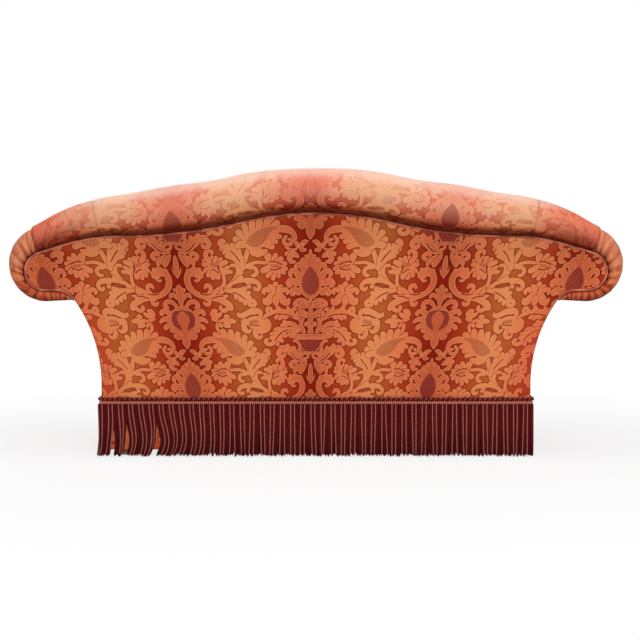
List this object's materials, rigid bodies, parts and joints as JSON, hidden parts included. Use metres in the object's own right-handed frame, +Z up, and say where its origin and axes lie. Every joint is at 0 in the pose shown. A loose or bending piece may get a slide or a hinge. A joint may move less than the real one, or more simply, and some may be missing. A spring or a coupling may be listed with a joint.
{
  "type": "camelback loveseat",
  "caption": "Upholstered loveseat with a camel-shaped back roll, outward rolled arms, a loose seat cushion and bullion fringe to the floor, over a sprung wooden frame.",
  "frame": {"origin": "middle of the footprint's bounding box, on the floor", "axes": "+Z up, -Y the way the seat faces, +X from the left arm to the right arm seen from the front"},
  "size_m": [1.68, 0.8302, 0.79],
  "materials": {
    "timber": "planed beech, bare",
    "turned_wood": "dark stained and waxed",
    "steel": "plain",
    "webbing": "woven jute",
    "canvas": "plain hessian",
    "damask": "silk damask with ombre stripes",
    "stuffing": "cotton wadding",
    "piping": "damask cut on the bias over cord",
    "trim": "twisted and woven viscose"
  },
  "bodies": {
    "frame": {"front_seat_rail": "timber", "back_seat_rail": "timber", "right_seat_rail": "timber", "left_seat_rail": "timber", "seat_brace": "timber", "corner_blocks": "timber", "right_back_post": "timber", "left_back_post": "timber", "back_tack_rail": "timber", "back_center_post": "timber", "back_top_rail": "timber", "frame_dowels": "timber", "right_arm_front_board": "timber", "right_arm_back_board": "timber", "right_arm_top_rail": "timber", "right_arm_scroll_rail": "timber", "right_arm_tack_rail": "timber", "left_arm_front_board": "timber", "left_arm_back_board": "timber", "left_arm_top_rail": "timber", "left_arm_scroll_rail": "timber", "left_arm_tack_rail": "timber", "front_right_foot": "turned_wood", "front_left_foot": "turned_wood", "back_right_foot": "turned_wood", "back_left_foot": "turned_wood", "corner_block_screws": "steel", "foot_studs": "steel", "foot_glides": "steel", "seat_springs": "steel", "seat_webbing_lengthwise": "webbing", "seat_webbing_crosswise": "webbing", "back_webbing": "webbing", "spring_canvas": "canvas", "back_lining": "canvas", "right_arm_lining": "canvas", "left_arm_lining": "canvas", "dust_cover": "canvas", "back_roll": "damask", "right_arm_pad": "damask", "left_arm_pad": "damask", "inside_back_pad": "damask", "outside_back": "damask", "right_outside_arm": "damask", "left_outside_arm": "damask", "right_arm_facing": "damask", "left_arm_facing": "damask", "front_border": "damask", "front_edge_roll": "damask", "seat_deck": "damask", "back_piping": "piping", "right_facing_piping": "piping", "left_facing_piping": "piping", "fringe_cord": "trim", "fringe_gimp": "trim", "bullion_fringe": "trim"},
    "cushion": {"cushion_cover": "damask", "cushion_core": "stuffing", "cushion_piping": "piping"}
  },
  "joints": [
    {"name": "cushion_lift", "type": "slide", "parent": "frame", "child": "cushion", "axis": [0, 0, 1], "range_m": [0, 0.5]}
  ]
}
